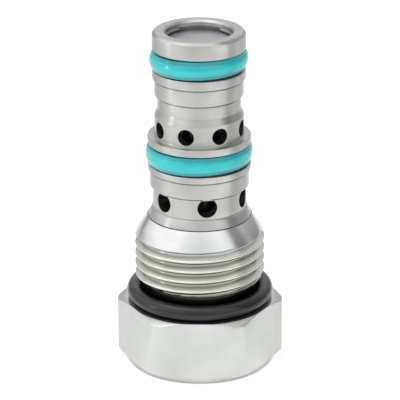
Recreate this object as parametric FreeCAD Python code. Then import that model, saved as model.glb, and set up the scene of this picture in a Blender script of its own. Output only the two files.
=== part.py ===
# Screw-in cartridge valve: three ports, normally open spool, spring behind the spool.
# Millimetres. The origin is the centre of the hexagon's end face, and +Z runs to the nose.
# Every turned piece is coaxial with Z. The front, for the hole rows, is the -Y side.
import FreeCAD
import Part
import math
import os

Vector = FreeCAD.Vector
AXIS = Vector(0, 0, 1)

# hexagon head
hex_across_flats = 25.4
hex_corner_diameter = 28.3
hex_height = 11.1
hex_end_collar_diameter = 25.2
hex_end_collar_height = 0.9
hex_end_taper = 0.25
hex_end_bevel_height = 0.45
hex_top_bevel_height = 0.64
hex_top_face_margin = 0.1
hex_end_wall = 3.4

# port thread, 7/8-14 UN form
thread_diameter = 22.0
thread_pitch = 25.4 / 14
thread_depth = 1.0
thread_length = 7.6
thread_runout = 1.607
undercut_diameter = 19.7
undercut_length = 3.85
thread_lead_height = 0.25
thread_groove_lead = 1.34

# rolled lip that holds the cage collar in the body
lip_height = 3.4
lip_edge_width = 0.05
lip_bulge = 0.1
pocket_depth = 4.8
collar_diameter = 18.2
collar_overlap = 0.6
collar_cone_height = 2.35

# cage, from the collar up to the nose
row_b_diameter = 15.75
row_b_length = 3.77
row_b_hole_count = 6
row_b_hole_diameter = 3.3
row_b_hole_height = 2.05
row_b_turn = 11.5
neck_b_diameter = 16.72
neck_b_length = 2.89
middle_land_diameter = 17.38
middle_lower_land_length = 1.09
middle_groove_diameter = 14.5
middle_upper_land_length = 1.23
seal_groove_length = 3.57
row_a_diameter = 14.98
row_a_length = 3.65
row_a_hole_count = 8
row_a_hole_diameter = 2.75
row_a_hole_height = 1.75
row_a_turn = 29.3
flare_length = 1.1
waist_diameter = 13.96
waist_length = 2.42
neck_a_diameter = 14.88
neck_a_length = 2.87
nose_land_diameter = 15.6
nose_lower_land_length = 1.51
nose_groove_diameter = 12.7
nose_land_length = 2.98
nose_chamfer = 0.45
mouth_chamfer = 0.3
shoulder_fillet = 0.3
cage_bore_diameter = 11.16

# cage tail inside the body, with its static seal
tail_diameter = 14.8
tail_length = 6.8
tail_groove_diameter = 12.7
tail_groove_length = 2.7
tail_groove_height = 1.8
cage_ring_length = 1.45
backup_ring_length = 0.95

# spool, its orifice plug and the wire ring that stops it
spool_stroke = 3.2
spool_waist_diameter = 8.6
spool_edge_overlap = 0.2
spool_rear_underlap = 0.35
spool_pocket_depth = 9.9
balance_groove_width = 0.4
balance_groove_depth = 0.15
balance_groove_pitch = 2.6
passage_diameter = 1.8
orifice_plug_diameter = 4.0
orifice_plug_length = 3.2
orifice_hole_diameter = 0.8
orifice_socket_flats = 2.0
orifice_socket_depth = 1.4
snap_wire_diameter = 0.58
snap_ring_depth = 1.22
snap_ring_gap_angle = 74.0

# spring pack at the hexagon end
chamber_diameter = 11.6
thick_shim = 0.5
thin_shim = 0.3
shim_bore_diameter = 5.0
guide_flange_thickness = 1.5
guide_bore_diameter = 2.0
spring_wire_diameter = 1.2
spring_outer_diameter = 7.4
spring_turns = 8.5

# seals
seal_width = 3.1
nose_seal_diameter = 16.54
middle_seal_diameter = 18.06
port_ring_section = 2.62

# clearances, each on the radius or along the axis
spool_fit = 0.03
tail_fit = 0.03
collar_fit = 0.03
lip_fit = 0.02
chamber_side_gap = 0.2
tail_end_gap = 0.3
seat_gap = 0.02
stop_gap = 0.05
spring_side_gap = 0.3
pocket_side_gap = 0.25
edge_break = 0.12

# heights that follow from the sizes above
thread_start = hex_height + undercut_length + thread_lead_height
thread_end = thread_start + thread_length
lip_top = thread_end + lip_height
pocket_floor = lip_top - pocket_depth
tail_end = pocket_floor - tail_length
collar_shoulder = lip_top - collar_overlap
row_b_bottom = collar_shoulder + collar_cone_height
row_b_top = row_b_bottom + row_b_length
neck_b_top = row_b_top + neck_b_length
middle_groove_bottom = neck_b_top + middle_lower_land_length
middle_groove_top = middle_groove_bottom + seal_groove_length
flange_top = middle_groove_top + middle_upper_land_length
row_a_top = flange_top + row_a_length
waist_bottom = row_a_top + flare_length
waist_top = waist_bottom + waist_length
neck_a_top = waist_top + neck_a_length
nose_groove_bottom = neck_a_top + nose_lower_land_length
nose_groove_top = nose_groove_bottom + seal_groove_length
nose_end = nose_groove_top + nose_land_length
row_b_height = row_b_bottom + row_b_hole_height
row_a_height = flange_top + row_a_hole_height
snap_ring_height = nose_end - snap_ring_depth
spool_face = snap_ring_height - snap_wire_diameter / 2 - seat_gap
spool_rear = tail_end
spool_diameter = cage_bore_diameter - 2 * spool_fit
spool_waist_top = row_a_height + row_a_hole_diameter / 2 + spool_edge_overlap
spool_waist_bottom = row_b_height - row_b_hole_diameter / 2 - spool_rear_underlap
spool_pocket_top = spool_rear + spool_pocket_depth
spool_pocket_diameter = spring_outer_diameter + 2 * pocket_side_gap
thin_shim_bottom = hex_end_wall + thick_shim
guide_bottom = thin_shim_bottom + thin_shim
spring_bottom = guide_bottom + guide_flange_thickness
guide_top = spool_pocket_top - spool_stroke - stop_gap
guide_flange_diameter = chamber_diameter - 2 * chamber_side_gap
guide_stem_diameter = spring_outer_diameter - 2 * (spring_wire_diameter + spring_side_gap)
port_ring_height = hex_height + port_ring_section / 2 + seat_gap
port_ring_radius = undercut_diameter / 2 + seat_gap + port_ring_section / 2


def turned(outline):
    """A solid turned about Z from (radius, height) corners. A third value breaks that corner by a bevel."""
    points = []
    count = len(outline)
    for i, corner in enumerate(outline):
        here = Vector(corner[0], 0, corner[1])
        if len(corner) == 2:
            points.append(here)
            continue
        for other in (outline[i - 1], outline[(i + 1) % count]):
            toward = Vector(other[0], 0, other[1]) - here
            points.append(here + toward.normalize() * corner[2])
    face = Part.Face(Part.makePolygon(points + points[:1]))
    return face.revolve(Vector(0, 0, 0), AXIS, 360)


def turned_edges(edges):
    """A solid turned about Z from a closed ring of edges in the XZ plane."""
    return Part.Face(Part.Wire(edges)).revolve(Vector(0, 0, 0), AXIS, 360)


def line(start, end):
    """A straight edge in the XZ plane between two (radius, height) points."""
    return Part.LineSegment(Vector(start[0], 0, start[1]), Vector(end[0], 0, end[1])).toShape()


def arc(start, middle, end):
    """A round edge in the XZ plane through three (radius, height) points."""
    places = [Vector(r, 0, z) for r, z in (start, middle, end)]
    return Part.Arc(*places).toShape()


def rod(diameter, bottom, top):
    """A plain cylinder on the Z axis between two heights."""
    return Part.makeCylinder(diameter / 2, top - bottom, Vector(0, 0, bottom), AXIS)


def hexagon_bar(across_flats, bottom, top):
    """A hexagonal bar on the Z axis with one flat facing -Y."""
    radius = across_flats / math.sqrt(3)
    angles = [math.radians(60 * i) for i in range(7)]
    ring = [Vector(radius * math.cos(a), radius * math.sin(a), bottom) for a in angles]
    return Part.Face(Part.makePolygon(ring)).extrude(Vector(0, 0, top - bottom))


def radial_holes(count, diameter, height, turn, reach):
    """Round cutters from the Z axis outward, the first one `turn` degrees from -Y towards +X."""
    holes = []
    for i in range(count):
        angle = math.radians(turn + 360.0 * i / count)
        way = Vector(math.sin(angle), -math.cos(angle), 0)
        holes.append(Part.makeCylinder(diameter / 2, reach, Vector(0, 0, height), way))
    return holes


def o_ring(radius, section, height):
    """A round-section ring."""
    return Part.makeTorus(radius, section / 2, Vector(0, 0, height), AXIS)


def stadium_ring(inner, outer, bottom, length):
    """An O-ring squeezed in its gland: flat inside and outside, round at both ends."""
    half = (outer - inner) / 2
    low = bottom + half
    high = bottom + length - half
    return turned_edges([
        line((inner, high), (inner, low)),
        arc((inner, low), (inner + half, bottom), (outer, low)),
        line((outer, low), (outer, high)),
        arc((outer, high), (inner + half, bottom + length), (inner, high)),
    ])


def d_ring(groove_diameter, land_diameter, outer_diameter, groove_top):
    """A D-section seal: flat on the groove floor, straight sides, one arc outside."""
    inner = groove_diameter / 2 + seat_gap
    side = land_diameter / 2 - edge_break
    outer = outer_diameter / 2
    top = groove_top - seat_gap
    bottom = top - seal_width
    middle = (top + bottom) / 2
    return turned_edges([
        line((inner, top), (inner, bottom)),
        line((inner, bottom), (side, bottom)),
        arc((side, bottom), (outer, middle), (side, top)),
        line((side, top), (inner, top)),
    ])


def thread_groove():
    """The helical 60 degree groove of the port thread, from the undercut to the thread's end."""
    crest = thread_diameter / 2
    root = crest - thread_depth
    over = 0.2
    crest_half = thread_pitch * 7 / 16
    slope = math.tan(math.radians(30))
    root_half = crest_half - thread_depth * slope
    over_half = crest_half + over * slope
    height = thread_length + thread_runout
    helix = Part.makeHelix(thread_pitch, height, root)
    corners = [
        Vector(root, 0, -root_half),
        Vector(crest + over, 0, -over_half),
        Vector(crest + over, 0, over_half),
        Vector(root, 0, root_half),
    ]
    profile = Part.makePolygon(corners + corners[:1])
    groove = Part.Wire(helix.Edges).makePipeShell([profile], True, True)
    groove.translate(Vector(0, 0, thread_start - thread_groove_lead))
    return groove


def make_hex_head():
    """The hexagon with turned corners, a short collar at its end face and bevelled corner edges."""
    corner = hex_corner_diameter / 2
    collar = hex_end_collar_diameter / 2
    bevel_foot = hex_end_collar_height + hex_end_bevel_height
    blank = turned([
        (0, 0),
        (collar - hex_end_taper, 0),
        (collar, hex_end_collar_height),
        (corner, bevel_foot),
        (corner, hex_height - hex_top_bevel_height),
        (hex_across_flats / 2 + hex_top_face_margin, hex_height),
        (0, hex_height),
    ])
    return blank.common(hexagon_bar(hex_across_flats, 0, hex_height))


def make_shank():
    """The undercut, the thread blank and the rounded lip, as one turned blank."""
    crest = thread_diameter / 2
    undercut = undercut_diameter / 2
    lip_outer = lip_inner_radius() + lip_edge_width
    lip_foot = (crest, thread_end)
    lip_edge = (lip_outer, lip_top)
    across = Vector(lip_edge[0] - lip_foot[0], 0, lip_edge[1] - lip_foot[1])
    middle = (lip_foot[0] + across.x / 2, lip_foot[1] + across.z / 2)
    out = Vector(across.z, 0, -across.x).normalize() * lip_bulge
    lead_foot = hex_height + undercut_length
    base = hex_height / 2
    return turned_edges([
        line((0, base), (undercut, base)),
        line((undercut, base), (undercut, lead_foot)),
        line((undercut, lead_foot), (crest, thread_start)),
        line((crest, thread_start), lip_foot),
        arc(lip_foot, (middle[0] + out.x, middle[1] + out.z), lip_edge),
        line(lip_edge, (0, lip_top)),
        line((0, lip_top), (0, base)),
    ])


def cone_radius(height):
    """The radius of the cage collar's cone at a height."""
    share = (height - collar_shoulder) / collar_cone_height
    return (collar_diameter + (row_b_diameter - collar_diameter) * share) / 2


def lip_inner_radius():
    """The radius of the lip's inner edge, just clear of the collar's cone."""
    return cone_radius(lip_top) + lip_fit


def make_hex_body():
    """The body: hexagon, thread and lip outside; pocket, tail bore and spring chamber inside."""
    outside = make_hex_head().fuse(make_shank()).removeSplitter()
    pocket = collar_diameter / 2 + collar_fit
    tail_bore = tail_diameter / 2 + tail_fit
    chamber_top = tail_end - tail_end_gap
    hollow = turned([
        (0, hex_end_wall),
        (chamber_diameter / 2, hex_end_wall),
        (chamber_diameter / 2, chamber_top),
        (tail_bore, chamber_top),
        (tail_bore, pocket_floor),
        (pocket, pocket_floor),
        (pocket, collar_shoulder),
        (lip_inner_radius(), lip_top),
        (lip_inner_radius(), lip_top + lip_height),
        (0, lip_top + lip_height),
    ])
    return outside.cut(hollow).cut(thread_groove())


def make_cage():
    """The sleeve: lands, seal grooves and necks outside, one bore, two rows of radial holes."""
    bore = cage_bore_diameter / 2
    row_b = row_b_diameter / 2
    row_a = row_a_diameter / 2
    middle = middle_land_diameter / 2
    nose = nose_land_diameter / 2
    tail = tail_diameter / 2
    groove_low = tail_end + tail_groove_height
    groove_high = groove_low + tail_groove_length
    outline = [
        (bore, tail_end, edge_break),
        (tail, tail_end, shoulder_fillet),
        (tail, groove_low, edge_break),
        (tail_groove_diameter / 2, groove_low),
        (tail_groove_diameter / 2, groove_high),
        (tail, groove_high, edge_break),
        (tail, pocket_floor),
        (collar_diameter / 2, pocket_floor, edge_break),
        (collar_diameter / 2, collar_shoulder),
        (row_b, row_b_bottom, shoulder_fillet),
        (row_b, row_b_top),
        (neck_b_diameter / 2, row_b_top, edge_break),
        (neck_b_diameter / 2, neck_b_top),
        (middle, neck_b_top, edge_break),
        (middle, middle_groove_bottom, edge_break),
        (middle_groove_diameter / 2, middle_groove_bottom),
        (middle_groove_diameter / 2, middle_groove_top),
        (middle, middle_groove_top, edge_break),
        (middle, flange_top, edge_break),
        (row_a, flange_top, shoulder_fillet),
        (row_a, row_a_top, edge_break),
        (waist_diameter / 2, waist_bottom),
        (waist_diameter / 2, waist_top),
        (neck_a_diameter / 2, waist_top, edge_break),
        (neck_a_diameter / 2, neck_a_top),
        (nose, neck_a_top, edge_break),
        (nose, nose_groove_bottom, edge_break),
        (nose_groove_diameter / 2, nose_groove_bottom),
        (nose_groove_diameter / 2, nose_groove_top),
        (nose, nose_groove_top, edge_break),
        (nose, nose_end, nose_chamfer),
        (bore, nose_end, mouth_chamfer),
    ]
    cage = turned(outline)
    cage = cage.cut(snap_groove())
    reach = collar_diameter
    cutters = radial_holes(row_b_hole_count, row_b_hole_diameter, row_b_height, row_b_turn, reach)
    cutters += radial_holes(row_a_hole_count, row_a_hole_diameter, row_a_height, row_a_turn, reach)
    return cage.cut(Part.makeCompound(cutters))


def snap_groove():
    """The square groove in the cage's mouth that holds the wire ring."""
    half = snap_wire_diameter / 2 + seat_gap / 2
    depth = cage_bore_diameter / 2 + half
    ring = rod(2 * depth, snap_ring_height - half, snap_ring_height + half)
    return ring.cut(rod(cage_bore_diameter - 0.2, snap_ring_height - half, snap_ring_height + half))


def make_snap_ring():
    """An open ring of round wire, sprung into the cage's mouth, with its gap at the back."""
    wire = snap_wire_diameter / 2
    ring = Part.makeTorus(
        cage_bore_diameter / 2, wire, Vector(0, 0, snap_ring_height), AXIS, 0, 360, 360 - snap_ring_gap_angle
    )
    ring.rotate(Vector(0, 0, 0), AXIS, 90 + snap_ring_gap_angle / 2)
    return ring


def make_spool():
    """The spool: two lands and a waist, a spring pocket behind, a damping passage to the waist."""
    land = spool_diameter / 2
    waist = spool_waist_diameter / 2
    spool = turned([
        (0, spool_rear),
        (land, spool_rear, shoulder_fillet),
        (land, spool_waist_bottom),
        (waist, spool_waist_bottom),
        (waist, spool_waist_top),
        (land, spool_waist_top),
        (land, spool_face, shoulder_fillet),
        (0, spool_face),
    ])
    grooves = []
    for base in (spool_waist_top, spool_rear):
        for i in (1, 2, 3):
            low = base + i * balance_groove_pitch
            outer = rod(spool_diameter + 1, low, low + balance_groove_width)
            core = rod(spool_diameter - 2 * balance_groove_depth, low, low + balance_groove_width)
            grooves.append(outer.cut(core))
    passage_height = spool_pocket_top + orifice_plug_length + passage_diameter
    bores = [
        rod(spool_pocket_diameter, spool_rear - 1, spool_pocket_top),
        rod(orifice_plug_diameter + 2 * seat_gap, spool_pocket_top, spool_pocket_top + orifice_plug_length),
        rod(passage_diameter, spool_pocket_top, passage_height),
    ]
    bores += radial_holes(2, passage_diameter, passage_height, 0, spool_diameter)
    for cutter in grooves + bores:
        spool = spool.cut(cutter)
    return spool


def make_spool_orifice():
    """A screwed plug with a small hole, sunk in the bottom of the spool's spring pocket."""
    low = spool_pocket_top + stop_gap
    high = spool_pocket_top + orifice_plug_length - seat_gap
    plug = rod(orifice_plug_diameter, low, high)
    socket = hexagon_bar(orifice_socket_flats, low, low + orifice_socket_depth)
    return plug.cut(socket).cut(rod(orifice_hole_diameter, low, high))


def make_spring_guide():
    """The spring's seat and guide: a flange in the chamber and a hollow stem that stops the spool."""
    stem = guide_stem_diameter / 2
    hollow = guide_bore_diameter / 2
    return turned([
        (hollow, guide_bottom),
        (guide_flange_diameter / 2, guide_bottom, edge_break),
        (guide_flange_diameter / 2, spring_bottom, edge_break),
        (stem, spring_bottom),
        (stem, guide_top, shoulder_fillet),
        (hollow, guide_top),
    ])


def make_shim(bottom, thickness):
    """A flat shim under the spring guide, which sets the spring's preload."""
    return rod(guide_flange_diameter, bottom, bottom + thickness).cut(
        rod(shim_bore_diameter, bottom, bottom + thickness)
    )


def make_main_spring():
    """A round-wire compression spring with both ends cut flat, between the guide and the spool's pocket."""
    wire = spring_wire_diameter / 2
    radius = spring_outer_diameter / 2 - wire
    low = spring_bottom + seat_gap
    high = spool_pocket_top - seat_gap
    pitch = (high - low - 2 * wire) / spring_turns
    helix = Part.makeHelix(pitch, high - low - 2 * wire, radius)
    profile = Part.Wire(Part.makeCircle(wire, Vector(radius, 0, 0), Vector(0, 1, 0)))
    spring = Part.Wire(helix.Edges).makePipeShell([profile], True, True)
    spring.translate(Vector(0, 0, low + wire))
    return spring.common(rod(spring_outer_diameter + 1, low, high))


def make_backup_ring(bottom):
    """A square-section hard ring that keeps the cage's O-ring from extruding."""
    outer = tail_diameter + tail_fit
    inner = tail_groove_diameter + 2 * seat_gap
    top = bottom + backup_ring_length
    return rod(outer, bottom, top).cut(rod(inner, bottom, top))


def make_cage_o_ring(bottom):
    """The static O-ring between the cage's tail and the body."""
    inner = tail_groove_diameter / 2 + seat_gap
    outer = tail_diameter / 2 + tail_fit / 2
    return stadium_ring(inner, outer, bottom, cage_ring_length)


tail_groove_floor = tail_end + tail_groove_height + seat_gap
pieces = {
    "hex_body": make_hex_body(),
    "port_o_ring": o_ring(port_ring_radius, port_ring_section, port_ring_height),
    "cage": make_cage(),
    "cage_backup_ring": make_backup_ring(tail_groove_floor),
    "cage_o_ring": make_cage_o_ring(tail_groove_floor + backup_ring_length + seat_gap),
    "middle_seal": d_ring(
        middle_groove_diameter, middle_land_diameter, middle_seal_diameter, middle_groove_top
    ),
    "nose_seal": d_ring(
        nose_groove_diameter, nose_land_diameter, nose_seal_diameter, nose_groove_top
    ),
    "nose_snap_ring": make_snap_ring(),
    "spool": make_spool(),
    "spool_orifice": make_spool_orifice(),
    "main_spring": make_main_spring(),
    "spring_guide": make_spring_guide(),
    "preload_shim_thick": make_shim(hex_end_wall, thick_shim),
    "preload_shim_thin": make_shim(thin_shim_bottom, thin_shim),
}

os.makedirs("parts", exist_ok=True)
for name, shape in pieces.items():
    shape.exportStep(os.path.join("parts", name + ".step"))
    print(name, shape.isValid(), len(shape.Solids), round(shape.Volume, 2))
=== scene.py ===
import bmesh
import bpy
import math
import numpy as np
from mathutils import Matrix, Vector


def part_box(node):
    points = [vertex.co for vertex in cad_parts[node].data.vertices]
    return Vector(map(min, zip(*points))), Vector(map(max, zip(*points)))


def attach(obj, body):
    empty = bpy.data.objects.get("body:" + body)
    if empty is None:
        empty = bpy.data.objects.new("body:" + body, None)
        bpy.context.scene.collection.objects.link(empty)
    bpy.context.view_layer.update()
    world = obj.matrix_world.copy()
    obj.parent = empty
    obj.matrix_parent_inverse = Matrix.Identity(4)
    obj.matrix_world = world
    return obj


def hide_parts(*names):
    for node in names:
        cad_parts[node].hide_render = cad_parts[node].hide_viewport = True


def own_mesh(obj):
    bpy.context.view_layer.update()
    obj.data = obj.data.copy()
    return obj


# The looks of a screw-in cartridge valve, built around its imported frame.
# Lengths and heights are in millimetres, heights are above the hexagon's end face, and angles run
# from the front (-Y) towards +X. Meshes are written in metres.
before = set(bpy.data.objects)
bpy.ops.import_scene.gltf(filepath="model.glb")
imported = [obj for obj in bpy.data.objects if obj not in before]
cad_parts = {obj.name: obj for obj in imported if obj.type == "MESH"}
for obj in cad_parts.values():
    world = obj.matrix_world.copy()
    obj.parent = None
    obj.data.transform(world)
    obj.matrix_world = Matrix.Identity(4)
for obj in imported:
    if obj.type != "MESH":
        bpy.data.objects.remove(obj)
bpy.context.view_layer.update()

MM = 0.001
TURN = 2 * math.pi
# points once round a turned surface, and how near two points are merged
COLUMNS = 192
MERGE_DISTANCE = 0.002

# hexagon head: a round foot, a bevel, the six flats, a second bevel and the top face
HEX_FLATS = 25.4
HEX_CORNERS = 28.3
HEX_HEIGHT = 11.1
CORNER_BLEND = 0.08
FOOT_RADIUS = 12.35
FOOT_TOP_RADIUS = 12.6
FOOT_HEIGHT = 0.9
LOWER_BEVEL = 0.45
UPPER_BEVEL = 0.64
TOP_FACE_RADIUS = 12.8
TOP_EDGE_INSET = 0.04
TOP_EDGE_DROP = 0.05

# shank: undercut, thread, rolled lip
UNDERCUT_RADIUS = 9.85
UNDERCUT_FOOT_RADIUS = 9.86
UNDERCUT_TOP = 14.95
THREAD_RADIUS = 11.0
THREAD_START = 15.2
THREAD_END = 22.8
THREAD_PITCH = 25.4 / 14
THREAD_DEPTH = 1.0
THREAD_FLAT = THREAD_PITCH / 16
FLANK_ANGLE = 30
THREAD_TURNS = 5.5
FIRST_CREST = 12.5
# the angle after the first crest where the groove starts to run out, and how far that takes
RUNOUT_START = 5 * TURN + 1.2
RUNOUT_ANGLE = 1.3
LIP_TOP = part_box("hex_body")[1].z / MM
LIP_EDGE_RADIUS = 8.87
LIP_MOUTH_RADIUS = 8.83
LIP_BULGE = 0.1

# inside the body: the pocket for the cage's collar, the bore for its tail, the spring's chamber
POCKET_RADIUS = 9.13
POCKET_TOP = 25.6
POCKET_FLOOR = 21.4
TAIL_BORE_RADIUS = 7.43
TAIL_BORE_FLOOR = 14.3
CHAMBER_RADIUS = 5.8
CHAMBER_FLOOR = 3.4

# cage, from its tail inside the body to the nose
CAGE_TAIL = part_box("cage")[0].z / MM
NOSE_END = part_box("cage")[1].z / MM
BORE_RADIUS = 5.58
TAIL_RADIUS = 7.4
TAIL_GROOVE = {"radius": 6.35, "low": 16.4, "high": 19.1}
COLLAR_RADIUS = 9.1
CREASE = {"radius": 8.62, "low": 26.08, "high": 26.22}
CONE = {"low_radius": 8.74, "low": 26.34, "high_radius": 8.02, "high": 27.72}
CONE_RELIEF = {"radius": 7.8, "low": 27.86, "high": 28.02}
NECK_B = {"radius": 8.36, "low": 31.72, "high": 34.61}
MIDDLE_LAND_RADIUS = 8.69
MIDDLE_LAND_TOP = 40.50
MIDDLE_GROOVE = {"radius": 7.25, "low": 35.70, "high": 39.27}
FLARE_FOOT = 44.15
WAIST = {"radius": 6.98, "low": 45.25, "high": 47.67}
NECK_A = {"radius": 7.44, "high": 50.54}
NOSE_LAND_RADIUS = 7.8
NOSE_GROOVE = {"radius": 6.35, "low": 52.05, "high": 55.62}
NOSE_CHAMFER = 0.45
MOUTH_CHAMFER = 0.34
RING_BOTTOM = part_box("nose_snap_ring")[0].z / MM - 0.01
RING_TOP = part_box("nose_snap_ring")[1].z / MM + 0.01
RING_GROOVE_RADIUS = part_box("nose_snap_ring")[1].x / MM + 0.01

# the two rows of holes. Each row has a stretch of wall, from low to high, of its own
ROW_A = {
    "count": 8, "hole": 1.375, "height": 42.25, "turn": 29.3, "radius": 7.49, "low": 40.82, "high": 43.95,
}
ROW_B = {
    "count": 6, "hole": 1.65, "height": 30.0, "turn": 11.5, "radius": 7.875, "low": 28.26, "high": 31.38,
}
HOLE_BREAK = 0.04
BAND_ROWS = 13
BAND_RINGS = 5
RELIEF_DEPTH = 0.25
RELIEF_SHOWN = 0.17

# seals: where across half their width the rib ends and the valley lies, and how the shoulders stand
RIB_SHARE = 0.68
VALLEY_SHARE = 0.66
VALLEY_WIDTH = 0.07
VALLEY_DEPTH = 0.06
SHOULDER_RISE = 0.16
SHOULDER_ROUND = 0.3
SEAL_CLEARANCE = 0.02
SEAL_SIDE = 0.6
SEAL_TILT = 0.19
# how far inside the seal's shoulder and rib its two colours are reached; the shoulder's darker one is painted
# shade
COLOUR_MARGIN = 0.05

# O-ring's moulding flash, wire ring's gap in degrees, and spring
FLASH_HEIGHT = 0.012
FLASH_WIDTH = 0.05
RING_GAP = 74
SPRING_WIRE_RADIUS = 0.6
SPRING_TURNS = 8.5
SPRING_END_PACE = 0.45


# ---------------------------------------------------------------- shapes

def softened(outline, steps=3, longest=None):
    """An outline with rounded corners. A corner P = (r, z, size) becomes the curve
    (1-s)^2 A + 2 s (1-s) P + s^2 B, where A and B lie `size` from P along its two sides.
    r and z may be one number or one number per column. Sides longer than `longest` are divided."""
    columns = max(np.size(value) for corner in outline for value in corner[:2])
    places = np.array([[np.broadcast_to(v, columns) for v in corner[:2]] for corner in outline], float)
    rows = []
    for i, corner in enumerate(outline):
        here = places[i]
        if len(corner) == 2:
            rows.append(here[None])
            continue
        ends = []
        for other in (places[i - 1], places[i + 1]):
            side = other - here
            length = np.maximum(np.hypot(side[0], side[1]), 1e-9)
            ends.append(here + side * np.minimum(corner[2] / length, 0.45))
        s = np.linspace(0, 1, steps + 1)[:, None, None]
        rows.append((1 - s) ** 2 * ends[0] + 2 * s * (1 - s) * here + s ** 2 * ends[1])
    rows = np.concatenate(rows)
    if longest is None:
        return rows
    divided = [rows[:1]]
    for before, after in zip(rows[:-1], rows[1:]):
        gap = float(np.hypot(*(after - before)).max())
        s = np.linspace(0, 1, max(1, math.ceil(gap / longest)) + 1)[1:, None, None]
        divided.append(before + (after - before) * s)
    return np.concatenate(divided)


def ring_angles(count=COLUMNS, start=0.0):
    """Angles once round, with the first one repeated at the end."""
    return math.radians(start) + np.linspace(0, TURN, count + 1)


def around(radius, angle, height):
    """Points (r sin a, -r cos a, z), with the three arrays spread over one another."""
    radius, angle, height = np.broadcast_arrays(radius, angle, height)
    return np.stack([radius * np.sin(angle), -radius * np.cos(angle), height], axis=-1)


def turned(rows, angles):
    """The surface that an outline's rows (r, z) sweep round the axis."""
    if rows.shape[2] == 1:
        return around(rows[:, 0], angles, rows[:, 1])
    closed = np.concatenate([rows, rows[:, :, :1]], axis=2)
    return around(closed[:, 0], angles, closed[:, 1])


def piece(name, finishes, body, replaced, sharp=32.0):
    """One closed mesh from grids of points, given as (material, grids) pairs. Quads join neighbours in each
    grid, points that coincide are merged, so seams and poles close, and every face is turned outward.
    Edges that turn by more than `sharp` degrees stay crisp."""
    points = []
    faces = []
    slots = []
    start = 0
    for number, (material, grids) in enumerate(finishes):
        for grid in grids:
            rows, columns = grid.shape[:2]
            index = start + np.arange(rows * columns).reshape(rows, columns)
            quads = (index[:-1, :-1], index[:-1, 1:], index[1:, 1:], index[1:, :-1])
            faces.append(np.stack([q.ravel() for q in quads], axis=1))
            slots.append(np.full(len(faces[-1]), number, np.int32))
            points.append(grid.reshape(-1, 3))
            start += rows * columns
    mesh = bpy.data.meshes.new(name)
    mesh.from_pydata((np.concatenate(points) * MM).tolist(), [], np.concatenate(faces).tolist())
    mesh.polygons.foreach_set("material_index", np.concatenate(slots))
    work = bmesh.new()
    work.from_mesh(mesh)
    bmesh.ops.remove_doubles(work, verts=work.verts, dist=MERGE_DISTANCE * MM)
    bmesh.ops.recalc_face_normals(work, faces=work.faces)
    work.to_mesh(mesh)
    work.free()
    mesh.polygons.foreach_set("use_smooth", [True] * len(mesh.polygons))
    mesh.set_sharp_from_angle(angle=math.radians(sharp))
    for material, _ in finishes:
        mesh.materials.append(material)
    made = bpy.data.objects.new(name, mesh)
    bpy.context.scene.collection.objects.link(made)
    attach(made, body)
    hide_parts(*replaced)
    return made


# ---------------------------------------------------------------- materials

# where a colour Mix node takes its two colours
MIX_A = 6
MIX_B = 7
# a noise stays between these levels nearly everywhere
NOISE_LOW = 0.3
NOISE_HIGH = 0.7
# turning marks: how far one runs on and how deep it looks, and how much the roughness swings with them
MARK_LENGTH = 6.0
MARK_DEPTH = 0.02
ROUGH_SWING = 0.03
# rubber: how wide its cloudy patches are, and how deep its skin's grain looks
RUBBER_CLOUD = 3.0
RUBBER_GRAIN_DEPTH = 0.03
# seals: how far apart their flow streaks lie, how far one runs on and how deep it looks
STREAK_SPACING = 0.7
STREAK_LENGTH = 5.0
STREAK_DEPTH = 0.08


def linear(code):
    """An sRGB hex colour as linear RGBA."""
    share = np.array([int(code[i:i + 2], 16) for i in (1, 3, 5)]) / 255
    light = np.where(share <= 0.04045, share / 12.92, ((share + 0.055) / 1.055) ** 2.4)
    return (*light.tolist(), 1.0)


def add(tree, kind, inputs=None, **settings):
    """Adds one node. `settings` are its properties. `inputs` gives each socket, by name or number,
    a value or the (node, socket) that feeds it."""
    made = tree.nodes.new(kind)
    for key, value in settings.items():
        setattr(made, key, value)
    for key, value in (inputs or {}).items():
        socket = made.inputs[key]
        if isinstance(value, tuple) and isinstance(value[0], bpy.types.Node):
            tree.links.new(value[0].outputs[value[1]], socket)
        else:
            socket.default_value = value
    return made


def set_ramp(ramp, stops):
    """Gives a colour ramp its grey stops, as (place, level) pairs."""
    elements = ramp.color_ramp.elements
    while len(elements) < len(stops):
        elements.new(1.0)
    for element, (place, level) in zip(elements, stops):
        element.position = place
        element.color = (level, level, level, 1.0)


def new_material(name):
    """A new material with nothing in its node tree, and that tree."""
    made = bpy.data.materials.new(name)
    made.use_nodes = True
    made.node_tree.nodes.clear()
    return made, made.node_tree


def finish_material(tree, shader, bump=None):
    """Joins the shader, and the bump if there is one, to the material's output."""
    if bump is not None:
        tree.links.new(bump.outputs["Normal"], shader.inputs["Normal"])
    add(tree, "ShaderNodeOutputMaterial", {"Surface": (shader, "BSDF")})


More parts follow.
